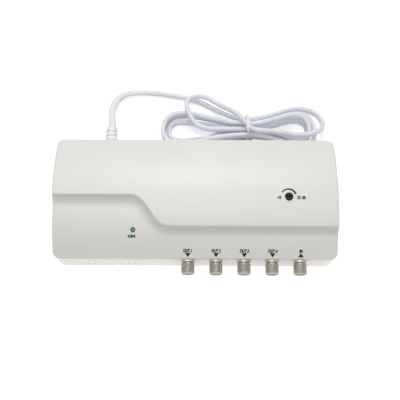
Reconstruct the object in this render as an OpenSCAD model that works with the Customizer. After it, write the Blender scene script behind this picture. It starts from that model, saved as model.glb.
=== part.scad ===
// Mains powered television signal amplifier with one aerial input and four outputs.
// Two moulded shells hold a mains supply on the left and a screened amplifier on the right.
// Origin: middle of the flat underside. +X right, -Y to the connectors, +Z up. Millimetres.

/* [Housing] */
// Width of the housing across the connectors' face
body_w = 202; // [190:1:230]
// Depth of the housing from the connectors' face to the cord's face
body_d = 87; // [84:1:100]
// Thickness of the moulded walls
wall = 2; // [1.6:0.1:2.6]
// Height of the seam between the tray and the cover
seam_z = 9; // [8:0.5:9]
// Height of the cover's crest
crest_z = 39; // [38:0.5:44]
// Distance of the crest behind the middle
crest_y = 6; // [2:0.5:10]
// Radius of the arched cover
arch_r = 95; // [90:1:130]
// Plan radius of the two rear corners
rear_corner = 5; // [4:0.5:8]
// Plan radius of the two front corners
front_corner = 7; // [4:0.5:9]
// Rounding of the cover's upper edge
edge_round = 1.2; // [0.6:0.1:1.8]
// Height of the tongue that centres the cover on the tray
tongue_h = 1.5; // [1:0.1:2]

/* [Step] */
// Drop from the raised panel to the lower panel
step_h = 5; // [3:0.1:5.2]
// Run of the hollow slope below the lip
step_run = 9.2; // [8:0.1:12]
// How quickly the slope falls away at the lip
step_fall = 2.4; // [2:0.2:5]
// Place of the lip on the left
lip_left_y = -1.9; // [-4:0.1:4]
// Place of the lip on the right
lip_right_y = -23.6; // [-26:0.1:-20]
// Middle of the slanting part of the lip
lip_mid_x = -31.9; // [-36:0.1:-26]
// Slant of the lip
lip_angle = 54.5; // [45:0.5:60]
// Radius of the lip's left bend
lip_left_r = 13.5; // [8:0.5:14]
// Radius of the lip's right bend
lip_right_r = 13.5; // [8:0.5:14]

/* [Connectors] */
// Number of outputs, left of the aerial input
output_count = 4; // [2:1:4]
// Spacing of the connectors
conn_pitch = 20; // [17:0.5:20]
// Place of the first output
conn_first_x = -5; // [-6:0.5:0]
// Height of the connectors' axis
conn_z = 14; // [14:0.1:14.5]
// Outside diameter of the threaded barrel
conn_d = 9.525; // [9:0.005:9.6]
// Length of the connector in front of the housing
conn_reach = 9.7; // [8:0.1:12]
// Length of the plain collar at the housing
conn_collar = 2; // [1:0.1:3]
// Width of the groove behind the thread
conn_groove = 0.7; // [0.4:0.1:1]
// Diameter of the insulator in the barrel
insulator_d = 6.4; // [5:0.1:7]
// Diameter of the centre contact
contact_d = 1.6; // [1:0.1:2]

/* [Gain control] */
// Place of the gain control from the middle
knob_x = 66; // [56:0.5:70]
// Place of the gain control from front to back
knob_y = -3; // [-6:0.5:-1]
// Diameter of the control's head
knob_d = 5.4; // [5:0.1:6.5]
// Height of the head above the cover
knob_rise = 0.8; // [0.4:0.1:2]
// Diameter of the control's shaft
shaft_d = 4; // [3:0.1:4.4]
// Width of the control's screwdriver slot
slot_w = 1; // [0.6:0.1:1.4]

/* [Power light] */
// Place of the light from the middle
led_x = -43.8; // [-50:0.1:-42]
// Place of the light from front to back
led_y = -25; // [-28:0.5:-22]
// Diameter of the light
led_d = 3; // [2.5:0.1:4]
// Height of the light's dome above the cover
led_rise = 1; // [0.5:0.1:2]

/* [Vents and keyholes] */
// Number of vent slots in the front edge
vent_count = 9; // [5:1:10]
// Spacing of the vent slots
vent_pitch = 4.9; // [4:0.1:5]
// Place of the first vent slot
vent_first_x = -77; // [-80:0.5:-75]
// Width of a vent slot
vent_w = 2; // [1.5:0.1:3]
// Height of a vent slot in the front wall
vent_h = 6; // [4:0.5:6.5]
// Run of a vent slot along the underside
vent_under = 8; // [6:0.5:10]
// Distance between the two keyholes
keyhole_span = 120; // [110:1:126]
// Diameter of a keyhole's round end
keyhole_d = 8; // [7:0.5:9]
// Width of a keyhole's slot
keyhole_slot = 4; // [3:0.5:4.5]

/* [Fixings] */
// Distance of the cover's pillars from the side faces
pillar_inset_x = 8; // [7.5:0.5:9]
// Distance of the cover's pillars from the front and rear faces
pillar_inset_y = 10.5; // [9.5:0.5:12]
// Diameter of a pillar
pillar_d = 7; // [6:0.5:8]
// Diameter of a cover screw's shank
cover_screw_d = 2.9; // [2.5:0.1:3.2]
// Diameter of a cover screw's head
cover_head_d = 5.6; // [5:0.1:6]
// Diameter of a board screw's shank
board_screw_d = 2.2; // [1.8:0.1:2.6]
// Diameter of a board screw's head
board_head_d = 4.6; // [4:0.1:5]

/* [Power supply] */
// Length of the supply board
supply_w = 62; // [60:1:66]
// Depth of the supply board
supply_d = 66; // [64:1:68]
// Left edge of the supply board
supply_x = -82; // [-84:0.5:-81]
// Height of the supply board's underside
supply_z = 6; // [5:0.5:7]
// Thickness of the boards
board_t = 1.6; // [1:0.1:2]
// Width of the transformer's core
core_w = 36; // [32:1:38]
// Height of the transformer's core
core_h = 24; // [20:1:25]
// Thickness of the core's stack
core_t = 14; // [10:1:16]
// Width of the core's middle leg
core_leg = 9; // [7:0.5:10]
// Diameter of the filter capacitor
cap_d = 13; // [10:0.5:14]
// Height of the filter capacitor
cap_h = 20; // [16:1:22]

// Place of the transformer on the board, from its left edge and from the middle
core_place = [25, 14];
// Place of the fuse, in the same way
fuse_place = [14, -17];
// Place of the first diode, in the same way
diode_place = [50, -6];
// Spacing of the diodes
diode_pitch = 4.5; // [4:0.1:6]
// Place of the filter capacitor, in the same way
cap_place = [51, 24];
// Place of the voltage regulator, in the same way
regulator_place = [51, 8];
// Width of the voltage regulator's case
regulator_w = 10; // [9:0.1:11]
// Height of the voltage regulator's case
regulator_h = 9; // [8:0.1:10]

/* [Amplifier] */
// Places of the amplifier stages across the board
chip_xs = [30, 48];
// Distance of the amplifier stages behind the screen's front
chip_back = 34; // [30:0.5:38]
// Length of an amplifier stage
chip_l = 6; // [5:0.1:8]
// Distance of the splitter's cores behind the screen's front
ferrite_back = 17; // [14:0.5:20]
// Diameter of a splitter's core
ferrite_d = 6; // [5:0.1:8]
// Middle of the screen across
screen_x = 35; // [34:0.5:36]
// Width of the screen
screen_w = 96; // [92:1:106]
// Depth of the screen
screen_d = 49; // [46:0.5:50]
// Thickness of the screen's sheet
sheet_t = 0.8; // [0.5:0.1:1]
// Gap between the screen and the housing's front wall
screen_gap = 2.5; // [2:0.5:3]
// Width of the gain control's case
pot_w = 11; // [9:0.5:12]
// Height of the gain control's case
pot_h = 4.6; // [4:0.1:4.7]

/* [Cord] */
// Width of the flat two-core cord
cord_w = 5.2; // [4.8:0.1:5.2]
// Thickness of the flat two-core cord
cord_t = 3.6; // [3:0.1:3.6]
// Place of the strain relief
relief_x = -64.5; // [-66:0.5:-62]
// Height of the strain relief's axis
relief_z = 12; // [12:0.5:14]
// Length of the strain relief behind the housing
relief_len = 18; // [16:0.5:24]
// Diameter of the strain relief at the housing
relief_d = 9.6; // [9:0.1:10.5]
// Diameter of the strain relief at the cord
relief_tip_d = 8.2; // [7.5:0.1:9]
// Diameter of the strain relief's neck in the wall
relief_neck_d = 7; // [6:0.1:8]
// Number of gaps between the strain relief's ribs
relief_gaps = 4; // [2:1:5]

/* [Plug] */
// Length of the plug's grip
plug_l = 23; // [20:1:23]
// Width of the plug's grip
plug_w = 18.5; // [18:0.5:19]
// Thickness of the plug's grip
plug_t = 9; // [8.5:0.1:9]
// Length of the plug's tapered neck
plug_neck = 10; // [8:0.5:12]
// Spacing of the blades
blade_pitch = 12.7; // [12.5:0.1:12.9]
// Width of a blade
blade_w = 6.35; // [6:0.05:6.5]
// Thickness of a blade
blade_t = 1.5; // [1.3:0.1:1.6]
// Length of a blade in front of the grip
blade_l = 16.5; // [15:0.5:17]

/* [Hidden] */
$fn = 48;

// Clearances: sliding fit of a thread or shaft, seated parts, and a part that turns in the cover
fit = 0.05;
seat = 0.15;
turn_gap = 0.3;
over = 1;

front_y = -body_d / 2;
rear_y = body_d / 2;
shell = "#f1efe9";
steel = "#c9cacb";
nickel = "#bdb8ab";
board_green = "#2f7a4c";
flex_white = "#eceaf2";

// Screw places of the cover and the supply board
pillar_x = body_w / 2 - pillar_inset_x;
pillar_y = body_d / 2 - pillar_inset_y;
pillars = [for (x = [-pillar_x, pillar_x], y = [-pillar_y, pillar_y]) [x, y]];
pad_h = 5;
head_h = 2.2;
head_recess = 2.6;
cover_screw_l = 12;
supply_y = 2 - supply_d / 2;
board_inset = 4;
board_posts = [for (x = [board_inset, supply_w - board_inset], y = [board_inset, supply_d - board_inset])
    [supply_x + x, supply_y + y]];
board_top = supply_z + board_t;
board_head_h = 1.8;
board_screw_l = 4;

// Screened amplifier, which stands on the tray's rails behind the front wall
screen_left = screen_x - screen_w / 2;
screen_y = front_y + wall + screen_gap;
screen_z = wall + 2;
rail_w = 3;
contact_tail_d = 0.8;
amp_top = conn_z - contact_tail_d / 2;
conn_total = output_count + 1;
conn_rear_d = 7.6;
conn_rear_l = 3;
lid_skirt = 0.6;
screen_top = conn_z + conn_rear_d / 2 + lid_skirt + 2 * seat;
screen_h = screen_top - screen_z;

// Power light and gain control under the cover
led_flange_h = 1;
led_flange_d = led_d + 0.8;
knob_top = arch(knob_y) + knob_rise;
knob_shoulder = screen_top + sheet_t + 1;
shaft_depth = pot_h - 1;

// Height of the raised panel over a place from front to back
function arch(y) = crest_z - arch_r + sqrt(arch_r * arch_r - (y - crest_y) * (y - crest_y));

// Lip of the step in plan: straight, bend, slant, bend, straight
lip_mid_y = (lip_left_y + lip_right_y) / 2;
lip_half = (lip_left_y - lip_right_y) / 2 / tan(lip_angle);
bend_left = lip_left_r * tan(lip_angle / 2);
bend_right = lip_right_r * tan(lip_angle / 2);
lip_left_x = lip_mid_x - lip_half - bend_left;
lip_right_x = lip_mid_x + lip_half + bend_right;
slant_from_x = lip_mid_x - lip_half + bend_left * cos(lip_angle);
slant_to_x = lip_mid_x + lip_half - bend_right * cos(lip_angle);
function lip_slope(x) =
    x <= lip_left_x || x >= lip_right_x ? 0 :
    x < slant_from_x ? -(x - lip_left_x) / sqrt(pow(lip_left_r, 2) - pow(x - lip_left_x, 2)) :
    x > slant_to_x ? -(lip_right_x - x) / sqrt(pow(lip_right_r, 2) - pow(lip_right_x - x, 2)) :
    -tan(lip_angle);
function lip(x) =
    x <= lip_left_x ? lip_left_y :
    x >= lip_right_x ? lip_right_y :
    x < slant_from_x ? lip_left_y - lip_left_r + sqrt(pow(lip_left_r, 2) - pow(x - lip_left_x, 2)) :
    x > slant_to_x ? lip_right_y + lip_right_r - sqrt(pow(lip_right_r, 2) - pow(lip_right_x - x, 2)) :
    lip_mid_y - (x - lip_mid_x) * tan(lip_angle);
function lip_stretch(x) = sqrt(1 + pow(lip_slope(x), 2));

// How far a place lies in front of the lip, square to it
left_bend_at = [lip_left_x, lip_left_y - lip_left_r];
right_bend_at = [lip_right_x, lip_right_y + lip_right_r];
slant_along = [cos(lip_angle), -sin(lip_angle)];
slant_square = [sin(lip_angle), cos(lip_angle)];
function before_lip(p) =
    p.x <= lip_left_x ? lip_left_y - p.y :
    (p - left_bend_at) * slant_along <= 0 ? lip_left_r - norm(p - left_bend_at) :
    (p - right_bend_at) * slant_along <= 0 ? lip_left_r - (p - left_bend_at) * slant_square :
    p.x < lip_right_x ? norm(p - right_bend_at) - lip_right_r :
    lip_right_y - p.y;

// Height of the cover's outside: the arch, less the hollow slope in front of the lip
function fallen(d) = 1 - pow(1 - min(1, max(0, d / step_run)), step_fall);
function cover_z(x, y) = arch(y) - step_h * fallen(before_lip([x, y]));

// Half width of the housing in plan, drawn in by an inset, with its round corners
function half_width(y, inset) =
    let (r = (y > 0 ? rear_corner : front_corner) - inset,
        past = max(0, abs(y) - (body_d / 2 - inset - r)))
    body_w / 2 - inset - r + sqrt(max(0, r * r - past * past));
// Outward direction of the housing's outline in plan at a point of its inset edge
function outward(p, inset) =
    let (r = (p.y > 0 ? rear_corner : front_corner) - inset,
        core = [body_w / 2 - inset - r, body_d / 2 - inset - r],
        from = [sign(p.x) * min(abs(p.x), core.x), sign(p.y) * min(abs(p.y), core.y)],
        d = [p.x, p.y] - from)
    d / norm(d);

// Grid of the cover's upper skin: columns across, rows that follow the lip
side_steps = 3;
bend_steps = 5;
columns = concat(
    [for (i = [0 : side_steps - 1]) lerp(-body_w / 2, lip_left_x, i / side_steps)],
    [for (i = [0 : bend_steps - 1]) lerp(lip_left_x, slant_from_x, i / bend_steps)],
    [for (i = [0 : 1]) lerp(slant_from_x, slant_to_x, i / 2)],
    [for (i = [0 : bend_steps - 1]) lerp(slant_to_x, lip_right_x, i / bend_steps)],
    [for (i = [0 : side_steps + 1]) lerp(lip_right_x, body_w / 2, i / (side_steps + 1))]);
rear_rows = [for (i = [0 : 9]) pow(i / 9, 2.4)];
slope_rows = [for (i = [1 : 7]) pow(i / 7, 1.5)];
front_rows = [for (i = [1 : 7]) 1 - pow(1 - i / 7, 2)];
function lerp(a, b, t) = a + (b - a) * t;
function column_ys(x) =
    let (rear = rear_y - edge_round, front = front_y + edge_round,
        foot = lip(x) - step_run * lip_stretch(x), last = max(foot, front + 2))
    concat([for (t = rear_rows) lerp(rear, lip(x), t)],
        [for (t = slope_rows) lerp(lip(x), last, t)],
        [for (t = front_rows) lerp(last, front, t)]);
row_count = len(rear_rows) + len(slope_rows) + len(front_rows);
column_count = len(columns);
skin = [for (x = columns) for (y = column_ys(x))
    let (px = x * half_width(y, edge_round) / (body_w / 2)) [px, y, cover_z(px, y)]];
rim = concat(
    [for (i = [0 : column_count - 2]) i * row_count],
    [for (j = [0 : row_count - 2]) (column_count - 1) * row_count + j],
    [for (i = [column_count - 1 : -1 : 1]) i * row_count + row_count - 1],
    [for (j = [row_count - 1 : -1 : 1]) j]);
round_steps = 3;
function rim_ring(k) =
    [for (i = rim) let (p = skin[i], n = outward(p, edge_round), a = 90 * k / round_steps)
        [p.x + n.x * edge_round * sin(a), p.y + n.y * edge_round * sin(a),
            p.z - edge_round * (1 - cos(a))]];
function dropped(ring, z) = [for (p = ring) [p.x, p.y, z]];
// Triangles between two rings of n points that start at a and b
function band(a, b, n) = [for (i = [0 : n - 1]) let (j = (i + 1) % n)
    each [[a + i, b + i, b + j], [a + i, b + j, a + j]]];

// Moulded outside of the cover as one closed form, from the seam up
module cover_form() {
    n = len(rim);
    start = len(skin);
    grid = [for (i = [0 : column_count - 2], j = [0 : row_count - 2])
        let (a = i * row_count + j, b = a + row_count)
        each [[a, b, b + 1], [a, b + 1, a + 1]]];
    first = [for (i = [0 : n - 1]) let (j = (i + 1) % n)
        each [[rim[i], start + i, start + j], [rim[i], start + j, rim[j]]]];
    rounds = [for (k = [0 : round_steps - 2]) each band(start + k * n, start + (k + 1) * n, n)];
    foot = start + round_steps * n;
    polyhedron(
        concat(skin, [for (k = [1 : round_steps]) each rim_ring(k)], dropped(rim_ring(round_steps), seam_z)),
        [for (f = concat(grid, first, rounds, band(foot - n, foot, n), [[for (i = [0 : n - 1]) foot + i]]))
            [for (i = [len(f) - 1 : -1 : 0]) f[i]]]);
}

// Plan of the housing, drawn in by an inset
module plan(inset) {
    rear_r = rear_corner - inset;
    front_r = front_corner - inset;
    w = body_w / 2 - inset;
    d = body_d / 2 - inset;
    for (side = [-1, 1]) {
        translate([side * (w - rear_r), d - rear_r]) circle(rear_r);
        translate([side * (w - front_r), front_r - d]) circle(front_r);
    }
    translate([rear_r - w, 0]) square([2 * (w - rear_r), d]);
    translate([front_r - w, -d]) square([2 * (w - front_r), d]);
    translate([-w, front_r - d]) square([2 * w, 2 * d - front_r - rear_r]);
}

// Arched block whose top lies a depth below the raised panel
module arched(depth) {
    translate([-body_w, crest_y, crest_z - arch_r]) rotate([0, 90, 0])
        cylinder(h = 2 * body_w, r = arch_r - depth, $fn = 180);
}

// Hollow of the cover, which follows the step a wall's thickness inside
module cover_hollow() {
    rib = step_run * 0.2;
    behind = [for (x = concat([-body_w], [for (i = [side_steps : column_count - side_steps - 2]) columns[i]], [body_w]))
        [x, lip(x) + rib + wall * lip_stretch(x)]];
    intersection() {
        translate([0, 0, seam_z - over]) linear_extrude(crest_z) plan(wall);
        union() {
            translate([0, 0, -step_h]) arched(wall);
            intersection() {
                arched(wall);
                translate([0, 0, seam_z]) linear_extrude(crest_z)
                    polygon(concat(behind, [[body_w, body_d], [-body_w, body_d]]));
            }
        }
    }
}

// Opening from the seam up to a round end, for what passes through a wall along Y
module arch_notch(x, z, d, y, run) {
    translate([x, y, z]) rotate([-90, 0, 0]) cylinder(h = run, d = d);
    translate([x - d / 2, y, seam_z - over]) cube([d, run, z - seam_z + over]);
}

module base_tray() {
    color(shell) difference() {
        union() {
            difference() {
                linear_extrude(seam_z) plan(0);
                translate([0, 0, wall]) linear_extrude(seam_z) plan(wall);
            }
            tongue();
            for (p = pillars) translate([p.x, p.y, 0]) cylinder(h = pad_h, d = pillar_d);
            for (p = board_posts) translate([p.x, p.y, 0]) cylinder(h = supply_z, d = board_head_d + 1.4);
            for (y = [screen_y, screen_y + screen_d - rail_w])
                translate([screen_left, y, wall / 2]) cube([screen_w, rail_w, screen_z - wall / 2]);
        }
        for (p = pillars) translate([p.x, p.y, -over]) {
            cylinder(h = head_recess + over, d = cover_head_d + 4 * seat);
            cylinder(h = pad_h + 2 * over, d = cover_screw_d + 2 * seat);
        }
        for (p = board_posts) translate([p.x, p.y, board_top - board_screw_l])
            cylinder(h = board_screw_l, d = board_screw_d + 2 * fit);
        for (i = [0 : vent_count - 1]) translate([vent_first_x + i * vent_pitch - vent_w / 2, front_y - over, -over])
            difference() {
                cube([vent_w, vent_under + over, vent_h + over]);
                translate([-over, wall + over, wall + over]) cube([vent_w + 2 * over, vent_under, vent_h]);
            }
        for (side = [-1, 1]) translate([side * keyhole_span / 2, 0, -over]) keyhole();
        translate([relief_x, rear_y - 2 * wall, relief_z]) rotate([-90, 0, 0])
            cylinder(h = 2 * wall + over, d = relief_neck_d + 2 * fit);
    }
}

// Tongue inside the cover's wall, open where the connectors and the strain relief pass
module tongue() {
    difference() {
        union() {
            translate([0, 0, seam_z - wall]) linear_extrude(wall) difference() {
                plan(wall);
                plan(2 * wall);
            }
            translate([0, 0, seam_z - seat]) linear_extrude(tongue_h + seat) difference() {
                plan(wall + seat);
                plan(2 * wall);
            }
        }
        translate([0, 0, seam_z - wall - over]) linear_extrude(wall + tongue_h + 2 * over) {
            translate([screen_left - wall, front_y]) square([screen_w + 2 * wall, screen_gap + 2 * wall]);
            translate([relief_x - relief_d / 2 - wall, rear_y - 3 * wall]) square([relief_d + 2 * wall, 3 * wall]);
        }
    }
}

module keyhole() {
    cylinder(h = wall + 2 * over, d = keyhole_d);
    translate([-keyhole_slot / 2, 0, 0]) cube([keyhole_slot, keyhole_d, wall + 2 * over]);
    translate([0, keyhole_d, 0]) cylinder(h = wall + 2 * over, d = keyhole_slot);
}

module top_cover() {
    color(shell) difference() {
        union() {
            difference() {
                cover_form();
                cover_hollow();
            }
            for (p = pillars) let (top = cover_z(p.x, p.y) - wall)
                translate([p.x, p.y, pad_h]) cylinder(h = top - pad_h, d = pillar_d);
        }
        for (p = pillars) translate([p.x, p.y, pad_h - over])
            cylinder(h = cover_screw_l + over, d = cover_screw_d + 2 * fit);
        for (i = [0 : conn_total - 1])
            arch_notch(conn_first_x + i * conn_pitch, conn_z, conn_d + 2 * seat, front_y - over, 2 * wall + over);
        arch_notch(relief_x, relief_z, relief_neck_d + 2 * fit, rear_y - 2 * wall, 2 * wall + over);
        translate([led_x, led_y, seam_z]) cylinder(h = crest_z, d = led_d + 2 * seat);
        translate([knob_x, knob_y, seam_z]) cylinder(h = crest_z, d = knob_d + 2 * turn_gap);
    }
}

module cover_screws() {
    color("#8d9096") for (p = pillars) translate([p.x, p.y, head_recess - head_h]) difference() {
        union() {
            cylinder(h = head_h, d = cover_head_d);
            cylinder(h = cover_screw_l, d = cover_screw_d);
        }
        for (a = [0, 90]) rotate(a) translate([-0.4, -1.4, -over]) cube([0.8, 2.8, over + 1.2]);
    }
}

module supply_board() {
    color(board_green) difference() {
        translate([supply_x, supply_y, supply_z]) cube([supply_w, supply_d, board_t]);
        for (p = board_posts) translate([p.x, p.y, supply_z - over])
            cylinder(h = board_t + 2 * over, d = board_screw_d + 4 * seat);
    }
}

module board_screws() {
    color(steel) for (p = board_posts) translate([p.x, p.y, board_top]) difference() {
        union() {
            cylinder(h = board_head_h, d = board_head_d);
            translate([0, 0, -board_screw_l]) cylinder(h = board_screw_l, d = board_screw_d);
        }
        for (a = [0, 90]) rotate(a) translate([-0.35, -1.2, board_head_h - 0.8]) cube([0.7, 2.4, over]);
    }
}

// Transformer: a stack of E and I sheets round a wound former
core_x = supply_x + core_place.x;
core_y = core_place.y;
window_w = (core_w - 3 * core_leg) / 2 + core_leg / 4;
window_h = core_h - core_leg;
former_x = core_leg + 2 * seat;
former_y = core_t + 2 * seat;
module transformer_core() {
    color("#5c5f63") translate([core_x, core_y, board_top]) difference() {
        translate([-core_w / 2, -core_t / 2, 0]) cube([core_w, core_t, core_h]);
        for (side = [-1, 1])
            translate([side * (core_leg + window_w) / 2 - window_w / 2, -core_t, (core_h - window_h) / 2])
                cube([window_w, 2 * core_t, window_h]);
    }
}
module transformer_winding() {
    coil_t = window_w - 2 * seat;
    flange_t = 1;
    high = window_h - 2 * seat;
    color("#d8a24a") translate([core_x, core_y, board_top + (core_h - high) / 2]) difference() {
        union() {
            for (z = [0, high - flange_t]) translate([-former_x / 2 - coil_t, -former_y / 2 - coil_t, z])
                cube([former_x + 2 * coil_t, former_y + 2 * coil_t, flange_t]);
            translate([1 - former_x / 2 - coil_t, 1 - former_y / 2 - coil_t, 0])
                cube([former_x + 2 * coil_t - 2, former_y + 2 * coil_t - 2, high]);
        }
        translate([-former_x / 2, -former_y / 2, -over]) cube([former_x, former_y, core_h]);
    }
}

// Glass fuse in two spring clips
fuse_x = supply_x + fuse_place.x;
fuse_y = fuse_place.y;
fuse_d = 5;
fuse_l = 20;
module mains_fuse() {
    clip_w = 5;
    color("#d9d6c8") translate([fuse_x, fuse_y, board_top]) {
        translate([-fuse_l / 2, 0, 1 + fuse_d / 2]) rotate([0, 90, 0]) cylinder(h = fuse_l, d = fuse_d);
        for (side = [-1, 1]) translate([side * (fuse_l - clip_w) / 2 - clip_w / 2, -fuse_d / 2 - 0.6, 0]) difference() {
            cube([clip_w, fuse_d + 1.2, fuse_d]);
            translate([-over, 0.6, 1 + fuse_d / 2]) cube([clip_w + 2 * over, fuse_d, fuse_d]);
        }
    }
}

module rectifier_diodes() {
    diode_d = 2.7;
    diode_l = 5.2;
    color("#2b2b2d") for (i = [0 : 3])
        translate([supply_x + diode_place.x, diode_place.y - diode_pitch * i, board_top + diode_d / 2])
        rotate([0, 90, 0]) union() {
            cylinder(h = diode_l, d = diode_d, center = true);
            cylinder(h = diode_l + 5, d = 0.8, center = true);
            for (end = [-1, 1]) translate([0, 0, end * (diode_l / 2 + 2.1)]) rotate([0, 90, 0])
                cylinder(h = diode_d / 2, d = 0.8);
        }
}

module filter_capacitor() {
    groove_z = 2.5;
    color("#2d3550") translate([supply_x + cap_place.x, cap_place.y, board_top]) rotate_extrude()
        polygon([[0, 0], [cap_d / 2, 0], [cap_d / 2, groove_z], [cap_d / 2 - 0.6, groove_z + 0.6],
            [cap_d / 2, groove_z + 1.2], [cap_d / 2, cap_h - 0.5], [cap_d / 2 - 0.5, cap_h], [0, cap_h]]);
}

module voltage_regulator() {
    leg_h = 4;
    leg_pitch = regulator_w / 4;
    case_t = 4.4;
    tab_t = 1.3;
    tab_h = 6.5;
    color("#303133") translate([supply_x + regulator_place.x, regulator_place.y, board_top]) {
        for (k = [-1, 0, 1]) translate([k * leg_pitch - 0.4, -0.3, 0]) cube([0.8, 0.6, leg_h + over]);
        translate([-regulator_w / 2, -case_t / 2, leg_h]) cube([regulator_w, case_t, regulator_h]);
        difference() {
            translate([-regulator_w / 2, case_t / 2 - tab_t, leg_h]) cube([regulator_w, tab_t, regulator_h + tab_h]);
            translate([0, 0, leg_h + regulator_h + tab_h / 2]) rotate([-90, 0, 0]) cylinder(h = case_t, d = 3.6);
        }
    }
}

// Light on two long leads that reach down to the supply board
led_top = cover_z(led_x, led_y) + led_rise;
led_base = cover_z(led_x, led_y) - wall - led_flange_h - 1.6;
module power_led() {
    color("#38d058") translate([led_x, led_y, led_base]) {
        cylinder(h = led_flange_h, d = led_flange_d);
        cylinder(h = led_top - led_base - led_d / 2, d = led_d);
        translate([0, 0, led_top - led_base - led_d / 2]) sphere(d = led_d);
    }
}
module led_leads() {
    lead_t = 0.5;
    lead_gap = 1.27;
    color(steel) for (side = [-1, 1])
        translate([led_x + side * lead_gap - lead_t / 2, led_y - lead_t / 2, board_top])
            cube([lead_t, lead_t, led_base - board_top]);
}

// Tinned screen round the amplifier: a folded frame and a pressed lid
module screen_frame() {
    color(steel) difference() {
        translate([screen_left, screen_y, screen_z]) cube([screen_w, screen_d, screen_h]);
        translate([screen_left + sheet_t, screen_y + sheet_t, screen_z - over])
            cube([screen_w - 2 * sheet_t, screen_d - 2 * sheet_t, screen_h + 2 * over]);
        for (i = [0 : conn_total - 1]) translate([conn_first_x + i * conn_pitch, screen_y - over, conn_z])
            rotate([-90, 0, 0]) cylinder(h = conn_rear_l + 2 * over, d = conn_rear_d + 2 * fit);
        translate([screen_left - over, wire_y - wire_pitch, amp_top])
            cube([sheet_t + 2 * over, 2 * wire_pitch, 2 * wire_d]);
    }
}
module screen_lid() {
    color(steel) translate([0, 0, screen_top]) difference() {
        union() {
            translate([screen_left, screen_y, 0]) cube([screen_w, screen_d, sheet_t]);
            translate([screen_left + sheet_t + fit, screen_y + sheet_t + fit, -lid_skirt])
                cube([screen_w - 2 * (sheet_t + fit), screen_d - 2 * (sheet_t + fit), lid_skirt]);
        }
        translate([screen_left + 2 * sheet_t, screen_y + 2 * sheet_t, -lid_skirt - over])
            cube([screen_w - 4 * sheet_t, screen_d - 4 * sheet_t, lid_skirt + over]);
        translate([knob_x, knob_y, -over]) cylinder(h = sheet_t + 2 * over, d = shaft_d + 2);
    }
}
module amplifier_board() {
    front = screen_y + conn_rear_l + seat;
    color(board_green) translate([screen_left + sheet_t, front, amp_top - board_t])
        cube([screen_w - 2 * sheet_t, screen_y + screen_d - sheet_t - front, board_t]);
}

// Threaded aerial connector, turned about its axis, with its face to the front
thread_l = conn_reach - conn_collar - conn_groove;
conn_face = front_y - conn_reach;
conn_seat = screen_y - conn_face;
module connector(i) {
    r = conn_d / 2;
    bevel = 0.6;
    color(nickel) translate([conn_first_x + i * conn_pitch, conn_face, conn_z]) rotate([-90, 0, 0]) difference() {
        rotate_extrude() polygon([
            [0, 0], [r - bevel, 0], [r, bevel], [r, thread_l], [r - bevel, thread_l], [r - bevel, thread_l + conn_groove],
            [r, thread_l + conn_groove], [r, conn_seat], [conn_rear_d / 2, conn_seat],
            [conn_rear_d / 2, conn_seat + conn_rear_l], [0, conn_seat + conn_rear_l]]);
        translate([0, 0, -over]) cylinder(h = conn_seat + conn_rear_l + 2 * over, d = insulator_d);
    }
}
module connector_insulators() {
    recess = 0.8;
    color("#efe6cf") for (i = [0 : conn_total - 1])
        translate([conn_first_x + i * conn_pitch, conn_face + recess, conn_z]) rotate([-90, 0, 0]) difference() {
            cylinder(h = conn_seat + conn_rear_l - recess, d = insulator_d);
            translate([0, 0, -over]) cylinder(h = conn_seat + conn_rear_l + 2 * over, d = contact_d);
        }
}
module connector_contacts() {
    recess = 1.6;
    tail = 3;
    color("#d9b463") for (i = [0 : conn_total - 1])
        translate([conn_first_x + i * conn_pitch, conn_face + recess, conn_z]) rotate([-90, 0, 0]) difference() {
            union() {
                cylinder(h = conn_seat + conn_rear_l - recess, d = contact_d);
                cylinder(h = conn_seat + conn_rear_l - recess + tail, d = contact_tail_d);
            }
            translate([0, 0, -over]) cylinder(h = 6, d = contact_tail_d);
        }
}

// Amplifier stages and the splitter's wound cores on the amplifier board
module amplifier_chips() {
    leg_w = 0.7;
    chip_w = 4;
    color("#2a2b2e") for (x = chip_xs) translate([x, screen_y + chip_back, amp_top]) {
        translate([-chip_l / 2, -chip_w / 2, 0.4]) cube([chip_l, chip_w, 1.6]);
        for (k = [-1, 0, 1]) translate([k * chip_l / 3 - leg_w / 2, -chip_w / 2 - 1.2, 0])
            cube([leg_w, chip_w + 2.4, 0.5]);
    }
}
module splitter_ferrites() {
    color("#6b6e72") for (i = [0 : 2])
        translate([conn_first_x + (i + 0.5) * conn_pitch, screen_y + ferrite_back, amp_top]) difference() {
            cylinder(h = ferrite_d / 2, d = ferrite_d);
            translate([0, 0, -over]) cylinder(h = ferrite_d / 2 + 2 * over, d = ferrite_d / 2);
        }
}

module gain_pot_case() {
    color("#3b6ea5") translate([knob_x, knob_y, amp_top]) difference() {
        union() {
            translate([-pot_w / 2, -pot_w / 2, 0]) cube([pot_w, pot_w, pot_h - 1.5]);
            cylinder(h = pot_h, d = pot_w - 2);
        }
        translate([0, 0, pot_h - shaft_depth]) cylinder(h = pot_h, d = shaft_d + 2 * fit);
    }
}
module gain_knob() {
    shaft_foot = amp_top + pot_h - shaft_depth + seat;
    slot_depth = 1;
    color("#1b1b1d") translate([knob_x, knob_y, 0]) difference() {
        union() {
            translate([0, 0, shaft_foot]) cylinder(h = knob_shoulder - shaft_foot, d = shaft_d);
            translate([0, 0, knob_shoulder]) cylinder(h = knob_top - knob_shoulder, d = knob_d);
        }
        translate([-knob_d, -slot_w / 2, knob_top - slot_depth]) cube([2 * knob_d, slot_w, slot_depth + over]);
    }
}

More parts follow.
